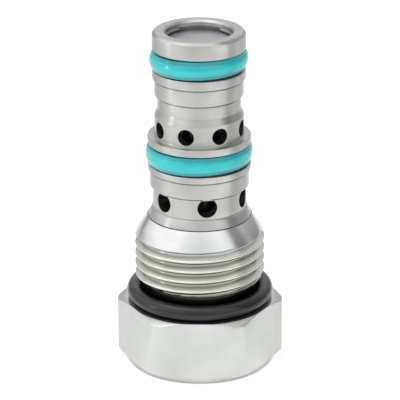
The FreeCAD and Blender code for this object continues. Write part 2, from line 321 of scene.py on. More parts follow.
def lathe_place(tree, ring_spacing, along_spacing):
    """A place that changes fast across turning or grinding marks and slowly along them:
    (x / along, y / along, (r + z) / ring spacing), where r is the distance from the axis."""
    place = add(tree, "ShaderNodeTexCoord")
    flat = add(tree, "ShaderNodeVectorMath", {0: (place, "Object"), 1: (1, 1, 0)}, operation="MULTIPLY")
    radius = add(tree, "ShaderNodeVectorMath", {0: (flat, "Vector")}, operation="LENGTH")
    parts = add(tree, "ShaderNodeSeparateXYZ", {0: (place, "Object")})
    across = add(tree, "ShaderNodeMath", {0: (radius, "Value"), 1: (parts, "Z")}, operation="ADD")
    lines = add(
        tree, "ShaderNodeMath",
        {0: (across, "Value"), 1: 1 / (ring_spacing * MM)}, operation="MULTIPLY",
    )
    side = add(tree, "ShaderNodeMath", {0: (parts, "X"), 1: 1 / (along_spacing * MM)}, operation="MULTIPLY")
    deep = add(tree, "ShaderNodeMath", {0: (parts, "Y"), 1: 1 / (along_spacing * MM)}, operation="MULTIPLY")
    return add(tree, "ShaderNodeCombineXYZ", {0: (side, "Value"), 1: (deep, "Value"), 2: (lines, "Value")})


def lathe_metal(name, dark, light, rough, spread, ring_spacing, cloud_size, grain=0.25, marks=0.1, tints_and_shade=()):
    """A turned or ground metal: fine rings round the axis, a slow drift of tone, and a highlight drawn
    out across the rings. Real tool marks lie a few hundredths of a millimetre apart, too fine to show, so
    `ring_spacing` draws them coarser. The last argument lists (radius or height, where it is clear, where it
    is full, colour) for colours laid over the metal there: painted shade in the thread's roots and undercut
    and on the spool below its face, and a plain tint where the thread meets the lip."""
    made, tree = new_material(name)
    rings = add(
        tree, "ShaderNodeTexNoise",
        {"Vector": (lathe_place(tree, ring_spacing, MARK_LENGTH), "Vector"), "Scale": 1.0, "Detail": 3.0,
         "Roughness": 0.7},
    )
    place = add(tree, "ShaderNodeTexCoord")
    clouds = add(
        tree, "ShaderNodeTexNoise",
        {"Vector": (place, "Object"), "Scale": 1 / (cloud_size * MM), "Detail": 2.0, "Roughness": 0.5},
    )
    both = add(
        tree, "ShaderNodeMix",
        {"Factor": grain, "A": (clouds, "Fac"), "B": (rings, "Fac")}, data_type="FLOAT",
    )
    tone = add(
        tree, "ShaderNodeMapRange",
        {"Value": (both, 0), "From Min": NOISE_LOW, "From Max": NOISE_HIGH},
    )
    base = add(
        tree, "ShaderNodeMix",
        {"Factor": (tone, "Result"), MIX_A: linear(dark), MIX_B: linear(light)}, data_type="RGBA",
    )
    parts = add(tree, "ShaderNodeSeparateXYZ", {0: (place, "Object")})
    flat = add(tree, "ShaderNodeVectorMath", {0: (place, "Object"), 1: (1, 1, 0)}, operation="MULTIPLY")
    radius = add(tree, "ShaderNodeVectorMath", {0: (flat, "Vector")}, operation="LENGTH")
    # each entry lays a colour over the metal: painted shade, or a plain tint of the plate
    for measure, clear, full, colour in tints_and_shade:
        depth = {"radius": (radius, "Value"), "height": (parts, "Z")}[measure]
        share = add(
            tree, "ShaderNodeMapRange",
            {"Value": depth, "From Min": clear * MM, "From Max": full * MM},
        )
        base = add(
            tree, "ShaderNodeMix",
            {"Factor": (share, "Result"), MIX_A: (base, 2), MIX_B: linear(colour)}, data_type="RGBA",
        )
    roughness = add(
        tree, "ShaderNodeMapRange",
        {"Value": (both, 0), "From Min": NOISE_LOW, "From Max": NOISE_HIGH,
         "To Min": rough + ROUGH_SWING, "To Max": rough - ROUGH_SWING},
    )
    bump = add(
        tree, "ShaderNodeBump",
        {"Height": (rings, "Fac"), "Strength": marks, "Distance": MARK_DEPTH * MM},
    )
    shader = add(
        tree, "ShaderNodeBsdfPrincipled",
        {"Base Color": (base, 2), "Metallic": 1.0, "Roughness": (roughness, "Result"),
         "Anisotropic": spread, "Anisotropic Rotation": 0.25},
    )
    finish_material(tree, shader, bump)
    return made


# Hardened steel, ground on centres: a soft neutral grey with faint rings, which draws each light out into
# an upright streak.
ground_steel = lathe_metal(
    "ground_cage_steel", "#B4B4B1", "#C8C8C4", rough=0.33, spread=0.75, ring_spacing=0.18, cloud_size=5.0,
)
# The same steel inside the nose, honed: a middle grey under the bright lip, painted shade of its own rim.
mouth_painted_shade = lathe_metal(
    "mouth_steel_painted_shade", "#7F7E7B", "#8E8D8A", rough=0.3, spread=0.5, ring_spacing=0.2, cloud_size=3.0,
)
# The bore and the drilled holes: dark and slightly warm, painted shade inside the cage.
bore_painted_shade = lathe_metal(
    "bore_steel_painted_shade", "#7C7A76", "#8E8C88", rough=0.35, spread=0.3, ring_spacing=0.3, cloud_size=3.0,
)
# Lapped steel of the spring guide: cooler and smoother than the ground cage.
lapped_steel = lathe_metal(
    "lapped_steel", "#B6B7B9", "#C8C9CA", rough=0.30, spread=0.5, ring_spacing=0.25, cloud_size=3.0,
)
# The lapped spool: a flat, cool grey end face, and painted shade that darkens its side just below the face.
spool_steel = lathe_metal(
    "lapped_spool_steel", "#B4B5B9", "#C4C5C9", rough=0.34, spread=0.3, ring_spacing=0.25, cloud_size=3.0,
    tints_and_shade=[("height", 56.9, 56.6, "#4A4845")],
)
# Clear zinc plate on the rolled lip and in the bores: the brightest metal, with a nearly white sheen.
zinc_plate = lathe_metal(
    "clear_zinc_plate", "#D4D6D3", "#E4E7E5", rough=0.2, spread=0.5, ring_spacing=0.4, cloud_size=6.0,
    grain=0.2, marks=0.05,
)
# The same plate on the thread: creamy on the crests, with painted shade that dulls the roots and makes the
# undercut nearly black, and as white as the lip where it meets it.
zinc_thread = lathe_metal(
    "zinc_plated_thread", "#D4D6CD", "#E8EAE2", rough=0.17, spread=0.35, ring_spacing=0.4, cloud_size=6.0,
    grain=0.15, marks=0.03, tints_and_shade=[
        ("radius", 10.75, 10.05, "#A2A398"),
        ("height", 15.1, 14.8, "#3A3A37"),
        ("height", 21.8, 23.4, "#DCDEDC"),
    ],
)
# The same plate on the drawn flats of the hexagon: a satin, faintly cloudy off-white, and its rings are too
# faint to see.
zinc_flats = lathe_metal(
    "zinc_plated_flats", "#C6C8C3", "#D3D5D1", rough=0.3, spread=0.0, ring_spacing=1.2, cloud_size=7.0,
    grain=0.15, marks=0.02,
)
# Drawn and tempered spring wire: a darker, slightly blue grey.
spring_wire = lathe_metal(
    "drawn_spring_wire", "#8F9094", "#A8A9AD", rough=0.35, spread=0.0, ring_spacing=0.3, cloud_size=2.0,
)
# Cold-rolled shim stock: smooth, even and grey.
shim_steel = lathe_metal(
    "rolled_shim_steel", "#A3A5A8", "#BDBFC1", rough=0.3, spread=0.3, ring_spacing=0.4, cloud_size=3.0,
)
# Free-cutting brass of the damping plug: a warm yellow.
turned_brass = lathe_metal(
    "turned_brass", "#B08D45", "#D0AE66", rough=0.3, spread=0.4, ring_spacing=0.2, cloud_size=2.0,
)


def moulded_rubber(name, dark, light, rough, grain_size, bump_strength):
    """A moulded elastomer or plastic with a faint cloudy tone and a fine skin. `grain_size` is the skin's
    grain in millimetres, drawn coarser than the real few hundredths so that it shows."""
    made, tree = new_material(name)
    place = add(tree, "ShaderNodeTexCoord")
    clouds = add(
        tree, "ShaderNodeTexNoise",
        {"Vector": (place, "Object"), "Scale": 1 / (RUBBER_CLOUD * MM), "Detail": 3.0},
    )
    grain = add(
        tree, "ShaderNodeTexNoise",
        {"Vector": (place, "Object"), "Scale": 1 / (grain_size * MM), "Detail": 3.0},
    )
    base = add(
        tree, "ShaderNodeMix",
        {"Factor": (clouds, "Fac"), MIX_A: linear(dark), MIX_B: linear(light)}, data_type="RGBA",
    )
    roughness = add(
        tree, "ShaderNodeMapRange",
        {"Value": (grain, "Fac"), "To Min": rough - 0.06, "To Max": rough + 0.08},
    )
    bump = add(
        tree, "ShaderNodeBump",
        {"Height": (grain, "Fac"), "Strength": bump_strength, "Distance": RUBBER_GRAIN_DEPTH * MM},
    )
    shader = add(
        tree, "ShaderNodeBsdfPrincipled",
        {"Base Color": (base, 2), "Roughness": (roughness, "Result")},
    )
    finish_material(tree, shader, bump)
    return made


# Black nitrile rubber, moulded and wiped with oil: nearly black, with soft glossy highlights.
black_nitrile = moulded_rubber(
    "black_nitrile", "#17171A", "#222226", rough=0.2, grain_size=0.25, bump_strength=0.08,
)
# The backup ring's hard white plastic: a satin ivory.
hard_ring = moulded_rubber(
    "white_hard_ring_plastic", "#D8D4C6", "#E6E3D8", rough=0.4, grain_size=0.4, bump_strength=0.05,
)


def seal_polyurethane(name, shoulder, rib):
    """Cast turquoise polyurethane: glossy, slightly translucent, darker at the shoulders than on the rib as
    painted shade, with flow streaks that run round the ring. `shoulder` and `rib` are radii in millimetres."""
    made, tree = new_material(name)
    place = add(tree, "ShaderNodeTexCoord")
    flat = add(tree, "ShaderNodeVectorMath", {0: (place, "Object"), 1: (1, 1, 0)}, operation="MULTIPLY")
    radius = add(tree, "ShaderNodeVectorMath", {0: (flat, "Vector")}, operation="LENGTH")
    height = add(
        tree, "ShaderNodeMapRange",
        {"Value": (radius, "Value"), "From Min": shoulder * MM, "From Max": rib * MM},
    )
    streaks = add(
        tree, "ShaderNodeTexNoise",
        {"Vector": (lathe_place(tree, STREAK_SPACING, STREAK_LENGTH), "Vector"), "Scale": 1.0,
         "Detail": 3.0, "Distortion": 0.6},
    )
    depth = add(
        tree, "ShaderNodeMix",
        {"Factor": 0.55, 2: (height, "Result"), 3: (streaks, "Fac")}, data_type="FLOAT",
    )
    # painted shade: the turquoise darkens from the rib down to the shoulders
    base = add(
        tree, "ShaderNodeMix",
        {"Factor": (depth, 0), MIX_A: linear("#00707D"), MIX_B: linear("#18DCDD")}, data_type="RGBA",
    )
    roughness = add(
        tree, "ShaderNodeMapRange",
        {"Value": (streaks, "Fac"), "To Min": 0.12, "To Max": 0.28},
    )
    bump = add(
        tree, "ShaderNodeBump",
        {"Height": (streaks, "Fac"), "Strength": 0.8, "Distance": STREAK_DEPTH * MM},
    )
    shader = add(
        tree, "ShaderNodeBsdfPrincipled",
        {"Base Color": (base, 2), "Roughness": (roughness, "Result"), "Subsurface Weight": 0.3,
         "Subsurface Radius": (0.4, 1.0, 1.0), "Subsurface Scale": 0.5 * MM, "IOR": 1.5,
         "Coat Weight": 0.6, "Coat Roughness": 0.06},
    )
    finish_material(tree, shader, bump)
    return made


# ---------------------------------------------------------------- body

def lip_arc(z):
    """The radius of the rolled lip at a height: a circle through the lip's foot, its edge and a point
    LIP_BULGE outside the middle of their chord."""
    chord = np.array([LIP_EDGE_RADIUS - THREAD_RADIUS, LIP_TOP - THREAD_END])
    half = np.hypot(*chord) / 2
    size = (half ** 2 + LIP_BULGE ** 2) / (2 * LIP_BULGE)
    out = np.array([chord[1], -chord[0]]) / (2 * half)
    middle = np.array([THREAD_RADIUS + LIP_EDGE_RADIUS, THREAD_END + LIP_TOP]) / 2
    centre = middle + out * (LIP_BULGE - size)
    return centre[0] + np.sqrt(size ** 2 - (z - centre[1]) ** 2)


def shank_radius(z):
    """The unthreaded shank: undercut, lead cone, thread cylinder, lip."""
    slope = (THREAD_RADIUS - UNDERCUT_RADIUS) / (THREAD_START - UNDERCUT_TOP)
    lead = np.clip(UNDERCUT_RADIUS + (z - UNDERCUT_TOP) * slope, UNDERCUT_RADIUS, THREAD_RADIUS)
    return np.where(z < THREAD_END, lead, lip_arc(np.maximum(z, THREAD_END)))


def thread_grids():
    """The thread as one helical strip, with a wedge at each end. The strip's rows follow one pitch from
    crest to crest, z = first + pitch * angle / turn + rise, r = crest - depth, where the depth fades to
    nothing over the last part of a turn. A wedge's rows are that same pitch shrunk from full height to
    none round one turn, so it fits the strip's end and a level ring."""
    flank = THREAD_DEPTH * math.tan(math.radians(FLANK_ANGLE))
    one_pitch = softened([
        (0, 0),
        (THREAD_FLAT, 0, 0.07),
        (THREAD_FLAT + flank, THREAD_DEPTH, 0.16),
        (THREAD_PITCH - THREAD_FLAT - flank, THREAD_DEPTH, 0.16),
        (THREAD_PITCH - THREAD_FLAT, 0, 0.07),
        (THREAD_PITCH, 0),
    ], longest=0.13)
    rise = one_pitch[:, 0]
    depth = one_pitch[:, 1]
    angle = np.linspace(0, THREAD_TURNS * TURN, round(THREAD_TURNS * COLUMNS) + 1)[None]
    fade = np.clip((angle - RUNOUT_START) / RUNOUT_ANGLE, 0, 1)
    fade = 1 - fade ** 2 * (3 - 2 * fade)
    height = FIRST_CREST + THREAD_PITCH * angle / TURN + rise
    radius = np.minimum(shank_radius(height), THREAD_RADIUS - depth * fade)
    strip = around(radius, angle, height)
    share = np.linspace(0, 1, COLUMNS + 1)[None]
    low = FIRST_CREST + rise * share
    low_wedge = around(shank_radius(low), share * TURN, low)
    last = FIRST_CREST + THREAD_TURNS * THREAD_PITCH
    high = last + THREAD_PITCH * share + rise * (1 - share)
    high_wedge = around(shank_radius(high), share * TURN + THREAD_TURNS * TURN, high)
    return [strip, low_wedge, high_wedge]


def body_grids():
    """The hexagon head and the bores are an outline carried round. The head's radius is the hexagon's,
    half its flats over cos(a), with a from the middle of the nearest flat, eased into the turned corners.
    The two bevel cones cut it at heights that follow from that radius."""
    angles = ring_angles()
    a = (angles[:-1] + TURN / 12) % (TURN / 6) - TURN / 12
    corner = HEX_CORNERS / 2
    hexagon = HEX_FLATS / 2 / np.cos(a)
    over = hexagon - corner
    side = corner + (over - np.sqrt(over ** 2 + CORNER_BLEND ** 2)) / 2
    side = np.minimum(side, hexagon)
    low = FOOT_HEIGHT + (side - FOOT_TOP_RADIUS) * LOWER_BEVEL / (corner - FOOT_TOP_RADIUS)
    top_edge = np.minimum(TOP_FACE_RADIUS, side - TOP_EDGE_INSET)
    drop = (side - TOP_FACE_RADIUS) * UPPER_BEVEL / (corner - TOP_FACE_RADIUS)
    high = HEX_HEIGHT - np.maximum(drop, TOP_EDGE_DROP)
    outside = softened([
        (0, 0),
        (FOOT_RADIUS, 0, 0.12),
        (FOOT_TOP_RADIUS, FOOT_HEIGHT, 0.1),
        (side, low, 0.12),
        (side, high, 0.12),
        (top_edge, HEX_HEIGHT, 0.06),
        (UNDERCUT_FOOT_RADIUS, HEX_HEIGHT, 0.25),
        (UNDERCUT_RADIUS, FIRST_CREST),
    ], longest=1.5)
    crest_end = FIRST_CREST + (THREAD_TURNS + 1) * THREAD_PITCH
    lip_heights = np.linspace(crest_end, LIP_TOP, 22)
    lip_rows = [(float(lip_arc(z)), float(z)) for z in lip_heights[:-1]]
    inside = softened(lip_rows + [
        (LIP_EDGE_RADIUS, LIP_TOP, 0.06),
        (LIP_MOUTH_RADIUS, LIP_TOP, 0.02),
        (POCKET_RADIUS, POCKET_TOP),
        (POCKET_RADIUS, POCKET_FLOOR),
        (TAIL_BORE_RADIUS, POCKET_FLOOR, 0.1),
        (TAIL_BORE_RADIUS, TAIL_BORE_FLOOR),
        (CHAMBER_RADIUS, TAIL_BORE_FLOOR, 0.1),
        (CHAMBER_RADIUS, CHAMBER_FLOOR),
        (0, CHAMBER_FLOOR),
    ], longest=1.5)
    return turned(outside, angles), turned(inside, angles)


head, lip_and_bores = body_grids()
piece(
    "threaded_hex_body",
    [(zinc_flats, [head]), (zinc_plate, [lip_and_bores]), (zinc_thread, thread_grids())],
    "valve_body", ["hex_body"],
)


# ---------------------------------------------------------------- cage

def hole_band(row, radius):
    """A stretch of cylinder with round cross holes. In the unwrapped plane (angle, z) each sector's points
    are (1-v) rim + v border. A straight hole of radius a meets a cylinder R at angle = asin(a cos(d) / R),
    z = height + a sin(d), and d is the border point's direction from the hole. Returns d too."""
    half = math.pi / row["count"]
    across = np.linspace(-half, half, COLUMNS // row["count"] + 1)
    up = np.linspace(row["low"], row["high"], BAND_ROWS + 1)
    border_angle = np.concatenate([
        across[:-1], np.full(BAND_ROWS, half), across[:0:-1], np.full(BAND_ROWS + 1, -half),
    ])
    border_height = np.concatenate([
        np.full(len(across) - 1, row["low"]), up[:-1], np.full(len(across) - 1, row["high"]), up[::-1],
    ])
    way = np.unwrap(np.arctan2(border_height - row["height"], radius * np.sin(border_angle)))
    rim = row["hole"] + HOLE_BREAK
    rim_angle = np.arcsin(rim * np.cos(way) / radius)
    rim_height = row["height"] + rim * np.sin(way)
    v = np.linspace(0, 1, BAND_RINGS + 1)[:, None] ** 1.4
    angle = (1 - v) * rim_angle + v * border_angle
    height = (1 - v) * rim_height + v * border_height
    turns = math.radians(row["turn"]) + TURN * np.arange(row["count"]) / row["count"]
    return [around(radius, angle + turn, height) for turn in turns], way


def hole_tubes(row, outer_way, inner_way):
    """The walls of a row's holes, with both rims broken. A ring of hole radius b on a cylinder R lies
    sqrt(R^2 - (b cos d)^2) from the axis, across it b cos d, up it b sin d."""
    outer = row["radius"]
    radius = np.array([outer, outer - HOLE_BREAK, BORE_RADIUS + HOLE_BREAK, BORE_RADIUS])[:, None]
    hole = row["hole"] + HOLE_BREAK * np.array([1, 0, 0, 1])[:, None]
    t = np.array([0, 0.05, 0.95, 1])[:, None]
    way = (1 - t) * outer_way + t * inner_way
    across = hole * np.cos(way)
    out = np.sqrt(radius ** 2 - across ** 2)
    height = row["height"] + hole * np.sin(way)
    grids = []
    for i in range(row["count"]):
        turn = math.radians(row["turn"]) + TURN * i / row["count"]
        x = out * math.sin(turn) + across * math.cos(turn)
        y = -out * math.cos(turn) + across * math.sin(turn)
        grids.append(np.stack([x, y, height], axis=-1))
    return grids


def relief(radius, step_radius, height):
    """The corners of a grinding relief cut into a neck right under a step. Seen from above, the step hides
    a stretch 0.4 times its own width, so the relief is that much taller than RELIEF_SHOWN."""
    foot = height - (step_radius - radius) * 0.4 - RELIEF_SHOWN
    deep = radius - RELIEF_DEPTH
    return [(radius, foot, 0.02), (deep, foot), (deep, height)]


def cage_grids():
    """The cage in three lots, outside, mouth and inside. Its outline is carried round below, between and
    above the two rows of holes. The columns start at a sector's edge in each row, and turn evenly from one
    row's start to the other's in between."""
    start_a = ROW_A["turn"] - 180 / ROW_A["count"]
    start_b = ROW_B["turn"] - 180 / ROW_B["count"]
    step = 360 / COLUMNS
    start_b += round((start_a - start_b) / step) * step

    def columns_between(height):
        """The columns' angles at a height between the two rows."""
        share = (height - ROW_B["high"]) / (ROW_A["low"] - ROW_B["high"])
        return np.radians(start_b + (start_a - start_b) * share) + np.linspace(0, TURN, COLUMNS + 1)

    below = softened([
        (BORE_RADIUS, ROW_B["low"]),
        (BORE_RADIUS, CAGE_TAIL, 0.12),
        (TAIL_RADIUS, CAGE_TAIL, 0.3),
        (TAIL_RADIUS, TAIL_GROOVE["low"], 0.1),
        (TAIL_GROOVE["radius"], TAIL_GROOVE["low"], 0.1),
        (TAIL_GROOVE["radius"], TAIL_GROOVE["high"], 0.1),
        (TAIL_RADIUS, TAIL_GROOVE["high"], 0.1),
        (TAIL_RADIUS, POCKET_FLOOR, 0.05),
        (COLLAR_RADIUS, POCKET_FLOOR, 0.12),
        (COLLAR_RADIUS, POCKET_TOP, 0.1),
        (CREASE["radius"], CREASE["low"]),
        (CREASE["radius"], CREASE["high"]),
        (CONE["low_radius"], CONE["low"], 0.04),
        (CONE["high_radius"], CONE["high"], 0.04),
        (CONE_RELIEF["radius"], CONE_RELIEF["low"]),
        (ROW_B["radius"], CONE_RELIEF["high"], 0.04),
        (ROW_B["radius"], ROW_B["low"]),
    ], longest=0.8)
    between = softened([
        (ROW_B["radius"], ROW_B["high"]),
        *relief(ROW_B["radius"], NECK_B["radius"], NECK_B["low"]),
        (NECK_B["radius"], NECK_B["low"], 0.08),
        *relief(NECK_B["radius"], MIDDLE_LAND_RADIUS, NECK_B["high"]),
        (MIDDLE_LAND_RADIUS, NECK_B["high"], 0.08),
        (MIDDLE_LAND_RADIUS, MIDDLE_GROOVE["low"], 0.1),
        (MIDDLE_GROOVE["radius"], MIDDLE_GROOVE["low"], 0.12),
        (MIDDLE_GROOVE["radius"], MIDDLE_GROOVE["high"], 0.12),
        (MIDDLE_LAND_RADIUS, MIDDLE_GROOVE["high"], 0.1),
        (MIDDLE_LAND_RADIUS, MIDDLE_LAND_TOP, 0.12),
        (ROW_A["radius"], MIDDLE_LAND_TOP, 0.3),
        (ROW_A["radius"], ROW_A["low"]),
    ], longest=0.6)
    above = softened([
        (ROW_A["radius"], ROW_A["high"]),
        (ROW_A["radius"], FLARE_FOOT, 0.1),
        (WAIST["radius"], WAIST["low"], 0.15),
        *relief(WAIST["radius"], NECK_A["radius"], WAIST["high"]),
        (NECK_A["radius"], WAIST["high"], 0.08),
        *relief(NECK_A["radius"], NOSE_LAND_RADIUS, NECK_A["high"]),
        (NOSE_LAND_RADIUS, NECK_A["high"], 0.08),
        (NOSE_LAND_RADIUS, NOSE_GROOVE["low"], 0.1),
        (NOSE_GROOVE["radius"], NOSE_GROOVE["low"], 0.12),
        (NOSE_GROOVE["radius"], NOSE_GROOVE["high"], 0.12),
        (NOSE_LAND_RADIUS, NOSE_GROOVE["high"], 0.1),
        (NOSE_LAND_RADIUS, NOSE_END - NOSE_CHAMFER, 0.08),
        (NOSE_LAND_RADIUS - NOSE_CHAMFER, NOSE_END, 0.08),
        (BORE_RADIUS + MOUTH_CHAMFER, NOSE_END, 0.05),
        (BORE_RADIUS, NOSE_END - MOUTH_CHAMFER, 0.05),
        (BORE_RADIUS, RING_TOP),
    ], longest=0.6)
    ring_groove = softened([
        (BORE_RADIUS, RING_TOP),
        (RING_GROOVE_RADIUS, RING_TOP, 0.04),
        (RING_GROOVE_RADIUS, RING_BOTTOM, 0.04),
        (BORE_RADIUS, RING_BOTTOM),
    ], longest=0.6)
    upper_bore = softened([(BORE_RADIUS, RING_BOTTOM), (BORE_RADIUS, ROW_A["high"])], longest=0.6)
    outer_a, outer_way_a = hole_band(ROW_A, ROW_A["radius"])
    inner_a, inner_way_a = hole_band(ROW_A, BORE_RADIUS)
    outer_b, outer_way_b = hole_band(ROW_B, ROW_B["radius"])
    inner_b, inner_way_b = hole_band(ROW_B, BORE_RADIUS)
    bore_height = np.linspace(ROW_B["high"], ROW_A["low"], 12)[:, None]
    outside = [
        turned(below, ring_angles(start=start_b)),
        around(between[:, 0], columns_between(between[:, 1]), between[:, 1]),
        turned(above, ring_angles(start=start_a)),
    ]
    inside = [
        turned(upper_bore, ring_angles(start=start_a)),
        around(BORE_RADIUS, columns_between(bore_height), bore_height),
    ]
    inside += hole_tubes(ROW_A, outer_way_a, inner_way_a)
    inside += hole_tubes(ROW_B, outer_way_b, inner_way_b)
    mouth = [turned(ring_groove, ring_angles(start=start_a))]
    return outside + outer_a + outer_b, mouth, inside + inner_a + inner_b


cage_outside, cage_mouth, cage_inside = cage_grids()
# the mouth and the inside of the cage take darker steels, as painted shade
piece(
    "ported_cage",
    [(ground_steel, cage_outside), (mouth_painted_shade, cage_mouth), (bore_painted_shade, cage_inside)],
    "valve_body", ["cage"],
)


# ---------------------------------------------------------------- seals and rings

def seal_piece(name, node, groove_radius, land_radius, tilt, drift):
    """A cast seal: flat inside and at its sides, with a shoulder, a full rib and a second shoulder outside.
    With u from -1 to 1 across its width, the rib is an arch cos(u / share * 90 degrees) ^ 0.75 that ends in
    a shallow bell-shaped valley before each shoulder. The ring leans: it sits `tilt` low in the middle and
    twice that at its left, and it is pushed sideways by `drift`."""
    low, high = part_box(node)
    outer = high.x / MM
    bottom = low.z / MM
    width = (high.z - low.z) / MM
    u = np.linspace(-1, 1, 61)
    arch = np.cos(np.clip(u / RIB_SHARE, -1, 1) * math.pi / 2) ** 0.75
    valley = VALLEY_DEPTH * np.exp(-((np.abs(u) - VALLEY_SHARE) / VALLEY_WIDTH) ** 2)
    shoulder = land_radius + SHOULDER_RISE - SHOULDER_ROUND * np.abs(u) ** 7
    radius = shoulder + (outer - shoulder) * arch - valley
    height = bottom + width * (u + 1) / 2
    inner = groove_radius + SEAL_CLEARANCE
    side = inner + SEAL_SIDE
    rows_r = np.concatenate([[inner, side], radius, [side, inner, inner]])
    top = bottom + width
    rows_z = np.concatenate([[bottom, bottom], height, [top, top, bottom]])
    grid = around(rows_r[:, None], ring_angles(), rows_z[:, None])
    grid[..., 2] += tilt * (grid[..., 0] - outer) / outer
    grid[..., 0] += drift
    finish = seal_polyurethane(
        "turquoise_polyurethane_" + node, land_radius + COLOUR_MARGIN, outer - COLOUR_MARGIN,
    )
    piece(name, [(finish, [grid])], "valve_body", [node], sharp=50)


seal_piece("cast_nose_seal", "nose_seal", NOSE_GROOVE["radius"], NOSE_LAND_RADIUS, SEAL_TILT, -0.06)
seal_piece("cast_middle_seal", "middle_seal", MIDDLE_GROOVE["radius"], MIDDLE_LAND_RADIUS, SEAL_TILT, -0.04)


def port_ring_grid():
    """An O-ring, (R + s cos t, s sin t), with a low moulding flash at its inner and outer equator."""
    low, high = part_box("port_o_ring")
    section = (high.z - low.z) / MM / 2
    ring = high.x / MM - section
    middle = (high.z + low.z) / MM / 2
    t = np.linspace(0, TURN, 65)[:, None]
    flash = FLASH_HEIGHT * np.exp(-(np.sin(t) / FLASH_WIDTH) ** 2)
    size = section - FLASH_HEIGHT + flash
    return around(ring + size * np.cos(t), ring_angles(), middle + size * np.sin(t))


piece(
    "moulded_port_ring", [(black_nitrile, [port_ring_grid()])],
    "valve_body", ["port_o_ring"],
)


def wire_ring_grid():
    """An open ring of round wire with domed ends: the wire's radius closes as sqrt(1 - e^2) over its last
    wire radius at each end."""
    low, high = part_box("nose_snap_ring")
    wire = (high.z - low.z) / MM / 2
    middle = (high.z + low.z) / MM / 2
    ring = -low.y / MM - wire
    half = math.radians(180 - RING_GAP / 2)
    dome = wire / ring
    e = np.sin(np.linspace(0, math.pi / 2, 7))
    angle = np.concatenate([
        -half + dome * (1 - e[::-1]), np.linspace(-half + dome, half - dome, 97)[1:-1], half - dome * (1 - e),
    ])
    size = wire * np.concatenate([np.sqrt(1 - e[::-1] ** 2), np.ones(95), np.sqrt(1 - e ** 2)])
    t = np.linspace(0, TURN, 25)[:, None]
    return around(ring + size * np.cos(t), angle, middle + size * np.sin(t))


piece(
    "sprung_wire_ring", [(spring_wire, [wire_ring_grid()])],
    "valve_body", ["nose_snap_ring"],
)


def spring_grid():
    """A compression spring: a tube round the helix z = low + rise(a), with a in turns. The rise's pace grows
    over the first turn and falls again over the last, and each end of the tube closes to its centre."""
    low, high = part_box("main_spring")
    wire = SPRING_WIRE_RADIUS
    coil = high.x / MM - wire
    bottom = low.z / MM + wire
    top = high.z / MM - wire
    a = np.linspace(0, SPRING_TURNS, int(SPRING_TURNS * 48) + 1)
    pace = SPRING_END_PACE + (1 - SPRING_END_PACE) * np.clip(np.minimum(a, SPRING_TURNS - a), 0, 1)
    rise = np.concatenate([[0], np.cumsum((pace[1:] + pace[:-1]) / 2)])
    height = bottom + (top - bottom) * rise / rise[-1]
    t = np.linspace(0, TURN, 17)[:, None]
    tube = around(coil + wire * np.cos(t), a * TURN, height + wire * np.sin(t))
    ends = [np.repeat(tube[:, i].mean(0)[None, None], 17, axis=0) for i in (0, -1)]
    return np.concatenate([ends[0], tube, ends[1]], axis=1)


spring = piece(
    "coiled_main_spring", [(spring_wire, [spring_grid()])],
    "valve_body", ["main_spring"],
)
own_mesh(spring)

# the pieces whose own shape stays, with their finishes
CARRIED = {
    "spool": spool_steel,
    "spool_orifice": turned_brass,
    "spring_guide": lapped_steel,
    "preload_shim_thick": shim_steel,
    "preload_shim_thin": shim_steel,
    "cage_o_ring": black_nitrile,
    "cage_backup_ring": hard_ring,
}
for node_name, finish in CARRIED.items():
    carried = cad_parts[node_name]
    carried.data.materials.clear()
    carried.data.materials.append(finish)


# ---------------------------------------------------------------- stage, light and camera

# The sky's light by the sine of its height, then by its angle from the front, where right is positive.
HEIGHT_LIGHT = [(0.0, 0.45), (0.1, 0.55), (0.22, 0.8), (0.45, 1.0), (0.78, 1.05), (0.92, 1.6), (1.0, 1.65)]
SKY_ROUND = [
    (-180, 1.0), (-152, 0.75), (-140, 0.6), (-128, 1.1), (-104, 1.3), (-50, 1.3), (-22, 1.0), (0, 0.9),
    (22, 0.98), (48, 1.15), (64, 1.1), (76, 0.3), (92, 0.3), (104, 0.6), (116, 0.5), (150, 0.75), (180, 1.0),
]
# The table's glow by angle, away from the valve and close to it.
FLOOR_ROUND = [
    (-180, 0.85), (-150, 0.6), (-132, 0.42), (-116, 0.6), (-98, 0.75), (-78, 0.98), (-55, 1.05), (-25, 0.95),
    (0, 0.85), (25, 0.98), (50, 1.08), (72, 1.1), (79, 0.5), (98, 0.5), (112, 0.7), (128, 0.55),
    (150, 0.6), (180, 0.85),
]
CLEAR_ROUND = [
    (-180, 0.9), (-140, 0.86), (-82, 0.85), (-66, 1.0), (66, 1.0), (82, 0.87), (140, 0.87), (180, 0.9),
]
FLOOR_GLOW = 0.9
# The close part in metres: its half width beside the valve, how much that grows per metre towards the back,
# how far it reaches in front, and the width of the fade at its edge.
CLEAR_SIDE = 0.036
CLEAR_WIDENING = 0.07
CLEAR_FRONT = 0.05
FLOOR_FADE = 0.04
# The painted shadow ring where the head meets the table, in millimetres from the axis, and its share of the
# glow.
FOOT_SHADE_INNER = 12.3
FOOT_SHADE_OUTER = 12.9
FOOT_SHADE = 0.45
# Half the table's side in metres, its cloudiness in patches per metre, and the height that the soft box
# is aimed at, in metres.
TABLE_HALF = 1.5
TABLE_CLOUDS = 30.0
AIM_HEIGHT = 0.03


def round_light(tree, way, stops):
    """The level that `stops` give at a direction's angle round from the front."""
    parts = add(tree, "ShaderNodeSeparateXYZ", {0: way})
    ahead = add(tree, "ShaderNodeMath", {0: (parts, "Y"), 1: -1.0}, operation="MULTIPLY")
    angle = add(tree, "ShaderNodeMath", {0: (parts, "X"), 1: (ahead, "Value")}, operation="ARCTAN2")
    place = add(
        tree, "ShaderNodeMapRange",
        {"Value": (angle, "Value"), "From Min": -math.pi, "From Max": math.pi},
    )
    level = add(tree, "ShaderNodeValToRGB", {0: (place, "Result")})
    set_ramp(level, [(degrees / 360 + 0.5, share) for degrees, share in stops])
    return level


